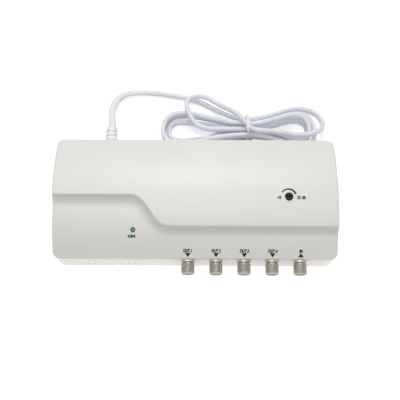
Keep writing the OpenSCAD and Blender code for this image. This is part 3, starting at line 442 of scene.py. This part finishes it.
def layered(finish, axis, pitch, depth):
    """Adds ridges across an axis, such as sheets or turns; pitch and depth in millimetres."""
    tree = finish.node_tree
    ridges = add(tree, "ShaderNodeTexWave",
                 {"Vector": add(tree, "ShaderNodeTexCoord").outputs["Object"], "Scale": 100 * math.pi / pitch},
                 bands_direction=axis)
    relief = add(tree, "ShaderNodeBump", {"Height": ridges.outputs["Fac"], "Distance": depth / 1000})
    tree.links.new(relief.outputs[0], tree.nodes["Principled BSDF"].inputs["Normal"])


# Epoxy board under green resist: satin, with paler copper tracks below it every 2.5 mm.
green_resist = mottled("resist_coated_board", "#245a38", "#2f6d45", 9, (0.35, 0.45), IOR=1.55)
tree = green_resist.node_tree
tracks = add(tree, "ShaderNodeTexBrick",
             {"Vector": add(tree, "ShaderNodeTexCoord").outputs["Object"], "Color1": linear("#245a38"),
              "Color2": linear("#2b6540"), "Mortar": linear("#438a5c"), "Scale": 100, "Mortar Size": 0.04})
tree.links.new(tracks.outputs[0], tree.nodes["Principled BSDF"].inputs["Base Color"])
dress(green_resist, "supply_board")
# Varnished steel sheets, 0.5 mm each, stacked from front to back.
core_sheets = mottled("varnished_core_sheets", "#4f5257", "#666a6f", 4, (0.4, 0.55))
layered(core_sheets, "Y", 0.5, 0.05)
dress(core_sheets, "transformer_core")
# Copper wound in level turns under amber polyester tape.
taped_copper = mottled("taped_copper_winding", "#c8933f", "#e0b05c", 3, (0.35, 0.5))
layered(taped_copper, "Z", 0.6, 0.05)
dress(taped_copper, "transformer_winding")
# Glass tube with a plated cap and clip at each end.
fuse_glass = mottled("fuse_tube_glass", "#d9d6c8", "#e9e7dd", 3, (0.08, 0.15), IOR=1.5)
low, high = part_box("mains_fuse")
band(fuse_glass, 0, low[0], low[0] + 0.005, "#b9bab7")
band(fuse_glass, 0, high[0] - 0.005, high[0], "#b9bab7")
dress(fuse_glass, "mains_fuse")
# Moulded black epoxy: matt, with tinned leads and a grey band at one end of each diode.
diode_epoxy = mottled("diode_epoxy", "#1f1f21", "#2c2c2e", 1, (0.5, 0.65), IOR=1.55)
low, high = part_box("rectifier_diodes")
band(diode_epoxy, 0, high[0] - 0.0039, high[0] - 0.0029, "#b4b4b2", metallic=False)
band(diode_epoxy, 0, low[0], low[0] + 0.0025, "#bfc1c0")
band(diode_epoxy, 0, high[0] - 0.0025, high[0], "#bfc1c0")
dress(diode_epoxy, "rectifier_diodes")
# Shrunk sleeve, dark blue and smooth, round an aluminium can that shows on top.
shrunk_sleeve = mottled("shrunk_pvc_sleeve", "#262d45", "#333d5c", 5, (0.25, 0.35), IOR=1.53)
low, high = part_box("filter_capacitor")
band(shrunk_sleeve, 2, high[2] - 0.0005, high[2], "#c3c5c6")
dress(shrunk_sleeve, "filter_capacitor")
# Epoxy case on a tinned copper tab and three legs.
regulator_epoxy = mottled("regulator_epoxy", "#242527", "#303133", 1, (0.5, 0.65), IOR=1.55)
low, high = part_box("voltage_regulator")
band(regulator_epoxy, 2, low[2], low[2] + 0.004, "#bfc1c0")
band(regulator_epoxy, 2, high[2] - 0.0065, high[2], "#bfc1c0")
dress(regulator_epoxy, "voltage_regulator")
# Smooth PVC insulation, brown.
brown_pvc = mottled("extruded_pvc_brown", "#6d4024", "#83512f", 4, (0.35, 0.45), IOR=1.53)
dress(brown_pvc, "mains_wires")


# Screened amplifier
# A tin box of sheet steel, folded and soldered, with a lid pressed on, round the amplifier's own board.
# Two amplifier stages, three ferrite rings of the splitter and the gain control's case stand on that board.
# Tin plate: a bright grey sheet with soft clouds of about 6 mm.
tin_plate = mottled("tinned_sheet_steel", "#b9bbba", "#d3d5d3", 6, (0.28, 0.45), Metallic=1.0)
dress(tin_plate, "screen_frame", "screen_lid", "led_leads")
dress(green_resist, "amplifier_board")
# Moulded epoxy on tinned feet.
chip_epoxy = mottled("chip_epoxy", "#222325", "#2e2f31", 1, (0.5, 0.65), IOR=1.55)
low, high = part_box("amplifier_chips")
band(chip_epoxy, 2, low[2], low[2] + 0.0004, "#bfc1c0")
dress(chip_epoxy, "amplifier_chips")
# Pressed and fired ferrite: dull dark grey, with a fine grit.
fired_ferrite = mottled("fired_ferrite", "#55585c", "#6e7175", 0.8, (0.6, 0.75), 0.3, 0.02)
dress(fired_ferrite, "splitter_ferrites")
# Moulded polyester, plain blue.
blue_polyester = mottled("moulded_polyester_blue", "#35639a", "#4274ad", 3, (0.4, 0.5), IOR=1.54)
dress(blue_polyester, "gain_pot_case")
# Smooth PVC insulation, red.
red_pvc = mottled("extruded_pvc_red", "#a82226", "#bf3035", 4, (0.35, 0.45), IOR=1.53)
dress(red_pvc, "supply_wires")


# Cover
# The upper moulding: an arched ABS shell with a raised panel at the back and a lower one in front.
# An S-shaped lip with a hollow slope parts them. Holes let through the light, the gain control, the sockets
# and the cord's bush.
wide, deep, wall = 202, 87, 2
seam, crest_high, crest_back, arch_radius = 9, 39, 6, 95
edge_round, rear_corner, front_corner, front_bend = 1.2, 5, 7, 4.5
step_drop, step_run, right_run, step_fall = 5, 9.2, 7.4, 3.2
lip_left, lip_right, lip_middle, lip_slant = -1.9, -23.6, -31.9, math.radians(54.5)
lip_left_radius, lip_right_radius, lip_soft = 13.5, 13.5, 0.25
seam_gap, seam_bevel = 0.05, 0.3
half_run = (lip_left - lip_right) / 2 / math.tan(lip_slant)
left_bend = lip_left_radius * math.tan(lip_slant / 2)
right_bend = lip_right_radius * math.tan(lip_slant / 2)
bend_from = lip_middle - half_run - left_bend
bend_to = lip_middle + half_run + right_bend
slant_from = lip_middle - half_run + left_bend * math.cos(lip_slant)
slant_to = lip_middle + half_run - right_bend * math.cos(lip_slant)


def arch(y):
    """Height of the arch without the step."""
    return crest_high - arch_radius + math.sqrt(arch_radius ** 2 - (y - crest_back) ** 2)


def lip(x):
    """Place and slope of the lip at x."""
    if x <= bend_from:
        return lip_left, 0
    if x >= bend_to:
        return lip_right, 0
    if x < slant_from:
        fall = math.sqrt(lip_left_radius ** 2 - (x - bend_from) ** 2)
        return lip_left - lip_left_radius + fall, -(x - bend_from) / fall
    if x > slant_to:
        fall = math.sqrt(lip_right_radius ** 2 - (bend_to - x) ** 2)
        return lip_right + lip_right_radius - fall, -(bend_to - x) / fall
    return (lip_left + lip_right) / 2 - (x - lip_middle) * math.tan(lip_slant), -math.tan(lip_slant)


def before_lip(x, y):
    """How far a place lies in front of the lip, square to it."""
    left_x, left_y = x - bend_from, y - lip_left + lip_left_radius
    right_x, right_y = x - bend_to, y - lip_right - lip_right_radius
    along_x, along_y = math.cos(lip_slant), -math.sin(lip_slant)
    if x <= bend_from:
        return lip_left - y
    if left_x * along_x + left_y * along_y <= 0:
        return lip_left_radius - math.hypot(left_x, left_y)
    if right_x * along_x + right_y * along_y <= 0:
        return lip_left_radius + left_x * along_y - left_y * along_x
    return math.hypot(right_x, right_y) - lip_right_radius if x < bend_to else lip_right - y


def cover_height(x, y):
    """Height of the cover's outside, with the lip's edge a little rounded and a shorter slope at the right."""
    d = before_lip(x, y)
    d = (d + math.sqrt(d * d + lip_soft * lip_soft)) / 2
    run = step_run + (right_run - step_run) * min(1, max(0, (x - bend_from) / (bend_to - bend_from)))
    return arch(y) - step_drop * (1 - (1 - min(1, d / run)) ** step_fall)


def half_width(y):
    """Half width of the cover's upper edge, inside its rounding."""
    r = (rear_corner if y > 0 else front_bend) - edge_round
    past = max(0, abs(y) - (deep / 2 - edge_round - r))
    return wide / 2 - edge_round - r + math.sqrt(max(0, r * r - past * past))


def eased(x, y, inset):
    """Moves a place on the outline to the wider round that the front corners have at the seam."""
    middle_x, middle_y = math.copysign(wide / 2 - front_corner, x), front_corner - deep / 2
    if abs(x) <= abs(middle_x) or y >= middle_y:
        return x, y
    away = Vector((x - middle_x, y - middle_y)).normalized() * (front_corner - inset)
    return middle_x + away.x, middle_y + away.y


def spread(a, b, count):
    """Evenly spaced places from a up to b, without b itself."""
    return [a + (b - a) * i / count for i in range(count)]


# The skin is a grid whose columns crowd at the side edges and bends, and whose rows crowd at the lip.
side_strip, lip_strip, foot_from_edge = 8, 1.4, 2
raised_rows, lip_rows, slope_rows, lower_rows = 26, 12, 18, 16
strips = ((-wide / 2, -wide / 2 + side_strip, 6), (-wide / 2 + side_strip, bend_from, 12),
          (bend_from, slant_from, 14), (slant_from, slant_to, 10), (slant_to, bend_to, 18),
          (bend_to, wide / 2 - side_strip, 24), (wide / 2 - side_strip, wide / 2, 6))
columns = [x for strip in strips for x in spread(*strip)] + [wide / 2]
rear_edge, front_edge = deep / 2 - edge_round, edge_round - deep / 2
skin = []
for x in columns:
    at, slope = lip(x)
    stretch = math.sqrt(1 + slope * slope)
    before = at + lip_strip * stretch
    after = at - lip_strip * stretch
    foot = max(at - step_run * stretch, front_edge + foot_from_edge)
    ys = ([rear_edge + (before - rear_edge) * (i / raised_rows) ** 1.8 for i in range(raised_rows)]
          + spread(before, after, lip_rows) + spread(after, foot, slope_rows)
          + [foot + (front_edge - foot) * (1 - (1 - i / lower_rows) ** 2) for i in range(lower_rows + 1)])
    for y in ys:
        px = x * half_width(y) / (wide / 2)
        skin.append((px, y, cover_height(px, y)))
rows = len(skin) // len(columns)
last_column = len(columns) - 1
rim = ([i * rows for i in range(last_column)] + [last_column * rows + j for j in range(rows - 1)]
       + [i * rows + rows - 1 for i in range(last_column, 0, -1)] + list(range(rows - 1, 0, -1)))
faces = [(i * rows + j, i * rows + j + 1, (i + 1) * rows + j + 1, (i + 1) * rows + j)
         for i in range(last_column) for j in range(rows - 1)]
vertices = list(skin)

# Rings go round the edge's rounding and down to the seam: how far out, how far down, or at which height.
last_ring = rim
round_steps = 6
round_turns = [math.pi / 2 * k / round_steps for k in range(1, round_steps + 1)]
edge_rings = [(edge_round * math.sin(a), edge_round * (1 - math.cos(a)), None) for a in round_turns]
edge_rings += [(edge_round, 0, seam + seam_gap + seam_bevel), (edge_round - seam_bevel, 0, seam + seam_gap)]
for out, drop, height in edge_rings:
    ring = []
    for i in rim:
        x, y, z = skin[i]
        r = (rear_corner if y > 0 else front_bend) - edge_round
        core_x, core_y = wide / 2 - edge_round - r, deep / 2 - edge_round - r
        away = Vector((x - math.copysign(min(abs(x), core_x), x),
                       y - math.copysign(min(abs(y), core_y), y))).normalized()
        x, y = x + away.x * out, y + away.y * out
        if height:
            x, y = eased(x, y, edge_round - out)
        ring.append(len(vertices))
        vertices.append((x, y, height or z - drop))
    for k in range(len(rim)):
        j = (k + 1) % len(rim)
        faces.append((last_ring[k], last_ring[j], ring[j], ring[k]))
    last_ring = ring
cover = add_mesh("upper_moulding", [mm(*v) for v in vertices], faces, white_abs)


def cylinder_between(start, end, radius, sides=48):
    """Points and faces of a closed cylinder, in millimetres."""
    start, end = Vector(start), Vector(end)
    aim = (end - start).to_track_quat("Z", "Y")
    points = [start + aim @ Vector((radius * math.cos(2 * math.pi * k / sides),
                                    radius * math.sin(2 * math.pi * k / sides), 0)) for k in range(sides)]
    points += [q + end - start for q in points]
    walls = [(k, (k + 1) % sides, (k + 1) % sides + sides, k + sides) for k in range(sides)]
    return points, walls + [tuple(reversed(range(sides))), tuple(range(sides, 2 * sides))]


socket_xs, socket_high, socket_radius, socket_clearance = [-5, 15, 35, 55, 75], 14, 9.525 / 2, 0.15
light_at, light_hole = (-43.8, -25), 1.85
gain_at, gain_hole = (66, -3), 3.0
bush_hole = 3.55
cut_from, cut_to = 39.5, 50
cut_low, cut_high = 12, 50
holes = [((x, -cut_to, socket_high), (x, -cut_from, socket_high), socket_radius + socket_clearance)
         for x in socket_xs]
holes += [((cord_exit[0], cut_from, cord_exit[2]), (cord_exit[0], cut_to, cord_exit[2]), bush_hole),
          ((*light_at, cut_low), (*light_at, cut_high), light_hole),
          ((*gain_at, cut_low), (*gain_at, cut_high), gain_hole)]
cutter_points, cutter_faces = [], []
for start, end, radius in holes:
    points, sides = cylinder_between(start, end, radius)
    cutter_faces += [tuple(k + len(cutter_points) for k in side) for side in sides]
    cutter_points += points
cutter = add_mesh("hole_cutter", [mm(*v) for v in cutter_points], cutter_faces, white_abs)
thicken = cover.modifiers.new("wall", "SOLIDIFY")
thicken.thickness = wall / 1000
thicken.offset = -1
pierce = cover.modifiers.new("holes", "BOOLEAN")
pierce.object = cutter
pierce.operation = "DIFFERENCE"
pierce.solver = "MANIFOLD"
flatten(cover)
bpy.data.objects.remove(cutter)
cover.data.shade_smooth()
cover.data.set_sharp_from_angle(angle=math.radians(40))
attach(cover, "housing")
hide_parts("top_cover")


# Sockets
# Five turned brass sockets, nickel plated, with a 3/8-32 thread, a plain collar at the housing
# and a bevelled mouth. A dull white insulator fills each barrel and holds a gold-flashed spring contact.
socket_face, socket_length, bore_radius = -53.2, 14.2, 3.2
thread_from, thread_to, thread_pitch, thread_depth = 0.4, 7.2, 25.4 / 32, 0.25
flank_slope, flat_crest, run_out_over, rings_per_pitch = 3.4, 0.6, 0.5, 9
turn_sides = 72


def turned(name, profile, finish):
    """A body turned about the first socket's axis, from depths and radii, which may follow the turn."""
    vertices, faces = [], []
    for depth, radius in profile:
        for k in range(turn_sides):
            a = 2 * math.pi * k / turn_sides
            r = radius(a) if callable(radius) else radius
            vertices.append(mm(socket_xs[0] + r * math.sin(a), socket_face + depth,
                               socket_high + r * math.cos(a)))
    for i in range(len(profile) - 1):
        here, beyond = i * turn_sides, (i + 1) * turn_sides
        for k in range(turn_sides):
            j = (k + 1) % turn_sides
            faces.append((here + k, here + j, beyond + j, beyond + k))
    return add_mesh(name, vertices, faces, finish, smooth=35)


def thread_radius(depth):
    """Radius of the thread's flank round the barrel at a depth, run out at both ends."""
    def at(a):
        phase = (depth / thread_pitch + a / (2 * math.pi)) % 1
        flank = min(1, max(0, flank_slope * abs(phase - 0.5) - flat_crest))
        run_out = min(1, (depth - thread_from) / run_out_over, (thread_to - depth) / run_out_over)
        return socket_radius - thread_depth * flank * max(0, run_out)
    return at


# Along the bore to the bevelled mouth, over the thread, through the groove and along the collar to the rear.
thread_rings = int((thread_to - thread_from) / thread_pitch * rings_per_pitch)
thread_depths = [thread_from + (thread_to - thread_from) * i / thread_rings for i in range(thread_rings + 1)]
barrel_profile = [(socket_length, bore_radius), (0.35, bore_radius), (0.0, 3.55), (0.0, 4.3), (0.12, 4.5)]
barrel_profile += [(depth, thread_radius(depth)) for depth in thread_depths]
barrel_profile += [(7.25, 3.5), (8.3, 3.5), (8.35, 4.68), (8.45, socket_radius),
                   (socket_length - 0.1, socket_radius), (socket_length, 4.6), (socket_length, bore_radius)]

# One tree sets out the row of sockets: a line of points, one copy on each, made one mesh.
socket_row = bpy.data.node_groups.new("socket_row", "GeometryNodeTree")
row_inputs = {}
for name, kind in (("Turned piece", "NodeSocketGeometry"), ("Sockets", "NodeSocketInt"),
                   ("Spacing", "NodeSocketFloat"), ("Finish", "NodeSocketMaterial")):
    row_inputs[name] = socket_row.interface.new_socket(name, in_out="INPUT", socket_type=kind).identifier
socket_row.interface.new_socket("Row", in_out="OUTPUT", socket_type="NodeSocketGeometry")
given = add(socket_row, "NodeGroupInput")
offset = add(socket_row, "ShaderNodeCombineXYZ", {0: given.outputs["Spacing"]})
line = add(socket_row, "GeometryNodeMeshLine",
           {"Count": given.outputs["Sockets"], "Offset": offset.outputs[0]})
copies = add(socket_row, "GeometryNodeInstanceOnPoints",
             {"Points": line.outputs[0], "Instance": given.outputs["Turned piece"]})
solid = add(socket_row, "GeometryNodeRealizeInstances", {0: copies.outputs[0]})
dressed = add(socket_row, "GeometryNodeSetMaterial",
              {"Geometry": solid.outputs[0], "Material": given.outputs["Finish"]})
add(socket_row, "NodeGroupOutput", {0: dressed.outputs[0]})


def set_out(piece, finish):
    """Lays a turned piece out along the row of sockets."""
    row = piece.modifiers.new("row", "NODES")
    row.node_group = socket_row
    row[row_inputs["Sockets"]] = len(socket_xs)
    row[row_inputs["Spacing"]] = (socket_xs[1] - socket_xs[0]) / 1000
    row[row_inputs["Finish"]] = finish
    flatten(piece)
    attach(piece, "housing")


# Nickel plate over turned brass: a grey metal, dulled on the thread in specks of about a millimetre.
# The collars at the housing are painted a paler grey than the barrel: a painted highlight.
nickel_plate = mottled("nickel_plated_brass", "#7f7c73", "#b1aea4", 0.8, (0.4, 0.6), 0.5, 0.04, Metallic=1.0)
collar_highlight_from, collar_highlight_to = -0.0449, -0.0434
# A paler band of colour over each collar: a painted highlight on the same nickel plate.
band(nickel_plate, 1, collar_highlight_from, collar_highlight_to, "#c4c1b7", metallic=False)
barrels = turned("socket_barrels", barrel_profile, nickel_plate)
set_out(barrels, nickel_plate)
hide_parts("output_connector_1", "output_connector_2", "output_connector_3",
            "output_connector_4", "aerial_connector")

# Natural polypropylene, moulded: dull and slightly waxy, its white painted down to a mid grey as painted shade
# in the sockets' mouths.
polypropylene = mottled("moulded_polypropylene_natural", "#a4a19a", "#b8b5ad", 2.5, (0.5, 0.6), IOR=1.49)
insulator_profile = [(socket_length, 3.19), (0.8, 3.19), (0.7, 3.05), (0.7, 1.3), (1.5, 0.85),
                     (socket_length, 0.85), (socket_length, 3.19)]
insulators = turned("socket_insulators", insulator_profile, polypropylene)
set_out(insulators, polypropylene)
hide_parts("connector_insulators")

# Phosphor bronze with a flash of gold: warm yellow metal.
gold_flash = mottled("gold_flashed_bronze", "#bd9a50", "#d2b067", 1.4, (0.22, 0.42), Metallic=1.0)
contact_profile = [(17, 0), (17, 0.4), (socket_length, 0.4), (socket_length, 0.8), (1.8, 0.8), (1.6, 0.7),
                   (1.6, 0.4), (7, 0.4), (7, 0)]
contacts = turned("socket_contacts", contact_profile, gold_flash)
set_out(contacts, gold_flash)
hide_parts("connector_contacts")


# Gain control
# A black slotted head on a shaft, which turns in a small case on the amplifier board
# and comes up through the cover.
# Moulded nylon: black, half matt, a little paler where a blade has worn it.
black_nylon = mottled("moulded_nylon_black", "#0e0e0f", "#1a1a1b", 1.2, (0.55, 0.7), 0.3, 0.01, IOR=1.4,
                      **{"Specular IOR Level": 0.4})
head = bevelled_copy("gain_knob", "gain_head", black_nylon, 0.0003, 3)
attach(head, "gain_control")
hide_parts("gain_knob")


# Power light
# A 3 mm light with a tinted lens on long tinned leads. Its dome stands a millimetre out of the lower panel.
# Tinted epoxy: green and glossy, with a faint painted glow from a weak emission, and a faint cast from the pour.
# The weak emission is a painted glow: the light is not a working lamp here.
lens = mottled("tinted_epoxy_green", "#2a7f41", "#439653", 2, (0.1, 0.16), IOR=1.54,
               **{"Emission Color": linear("#4fc46a"), "Emission Strength": 0.12})
flange_radius, flange_high, dome_radius, lens_sides, dome_steps = 1.9, 1, 1.5, 40, 10
low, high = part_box("power_led")
lens_foot, dome_from = low[2] * 1000, high[2] * 1000 - dome_radius
lens_profile = [(lens_foot, 0), (lens_foot, flange_radius), (lens_foot + flange_high, flange_radius),
                (lens_foot + flange_high, dome_radius)]
for k in range(dome_steps + 1):
    a = k * math.pi / (2 * dome_steps)
    lens_profile.append((dome_from + dome_radius * math.sin(a), dome_radius * math.cos(a)))
turns = [2 * math.pi * k / lens_sides for k in range(lens_sides)]
vertices = [mm(light_at[0] + r * math.cos(a), light_at[1] + r * math.sin(a), z)
            for z, r in lens_profile for a in turns]
faces = [(i * lens_sides + k, i * lens_sides + (k + 1) % lens_sides,
          (i + 1) * lens_sides + (k + 1) % lens_sides, (i + 1) * lens_sides + k)
         for i in range(len(lens_profile) - 1) for k in range(lens_sides)]
lamp_lens = add_mesh("light_lens", vertices, faces, lens)
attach(lamp_lens, "housing")
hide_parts("power_led")


# Printed marks
# Black pad-printed signs on the cover: a word and an arrow at each socket, a word below the light,
# and a swelling arc with its two limits round the gain control. All signs are plain ones.
# Pad-print ink: a thin film of flat black, a shade uneven from the pad.
ink = mottled("pad_print_ink", "#0a0a0a", "#171716", 0.8, (0.6, 0.7), IOR=1.4)
film_thick = 0.03
word_at, word_high, word_narrow = -38.6, 1.9, 0.82
arrow_half, arrow_tip, input_arrow_at, output_arrow_at = 2, 1.4, -41, -41.25
arc_steps, arc_from, arc_to = 32, 149, 21
arc_radius, arc_closing, arc_half, arc_swell = 5.75, 0.8, 0.4, 0.32
cap_share = 0.7


def lay_on_cover(piece):
    """Drops a flat mark, in millimetres, onto the cover as a closed film."""
    for vertex in piece.data.vertices:
        x, y = vertex.co.x, vertex.co.y
        vertex.co = mm(x, y, cover_height(x, y) + film_thick)
    film = piece.modifiers.new("film", "SOLIDIFY")
    film.thickness = film_thick / 1000
    film.offset = -1
    flatten(piece)


def printed_word(name, letters, centre, height, narrow=1.0, bold=0.11):
    """A short word or number as a flat mesh, in millimetres; bold is a share of its height."""
    words = bpy.data.curves.new(name, "FONT")
    words.body = letters
    words.size = height / cap_share
    words.align_x = "CENTER"
    words.align_y = "CENTER"
    words.offset = bold * height
    words.resolution_u = 6
    maker = bpy.data.objects.new(name, words)
    bpy.context.collection.objects.link(maker)
    view = bpy.context.evaluated_depsgraph_get()
    mesh = bpy.data.meshes.new_from_object(maker.evaluated_get(view), depsgraph=view)
    bpy.data.objects.remove(maker)
    for vertex in mesh.vertices:
        vertex.co.x = centre[0] + narrow * vertex.co.x
        vertex.co.y += centre[1]
    mesh.materials.clear()
    mesh.materials.append(ink)
    piece = bpy.data.objects.new(name, mesh)
    bpy.context.collection.objects.link(piece)
    return piece


marks = []
for number, x in enumerate(socket_xs, 1):
    is_input = number == len(socket_xs)
    letters = "IN" if is_input else "OUT %d" % number
    marks.append(printed_word("socket_sign_%d" % number, letters, (x, word_at), word_high, word_narrow))
    tip = arrow_tip if is_input else -arrow_tip
    arrow_at = input_arrow_at if is_input else output_arrow_at
    arrow = [(x - arrow_half, arrow_at - tip, 0), (x + arrow_half, arrow_at - tip, 0), (x, arrow_at + tip, 0)]
    marks.append(add_mesh("socket_arrow_%d" % number, arrow, [(0, 1, 2) if is_input else (2, 1, 0)], ink))
marks.append(printed_word("light_sign", "ON", (-44.7, -29.4), 1.8, 1.25))
marks.append(printed_word("gain_low_sign", "10", (59.1, -3.75), 2.1, 0.9, 0.07))
marks.append(printed_word("gain_high_sign", "25 dB", (74.6, -3.9), 2.1, 0.85, 0.07))
arc = []
for k in range(arc_steps + 1):
    a = math.radians(arc_from + (arc_to - arc_from) * k / arc_steps)
    half = arc_half + arc_swell * k / arc_steps
    middle = arc_radius - arc_closing * k / arc_steps
    arc += [(gain_at[0] + r * math.cos(a), gain_at[1] + r * math.sin(a), 0)
            for r in (middle - half, middle + half)]
arc_faces = [(2 * k, 2 * k + 2, 2 * k + 3, 2 * k + 1) for k in range(arc_steps)]
marks.append(add_mesh("gain_arc", arc, arc_faces, ink))
for mark in marks:
    lay_on_cover(mark)
    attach(mark, "housing")
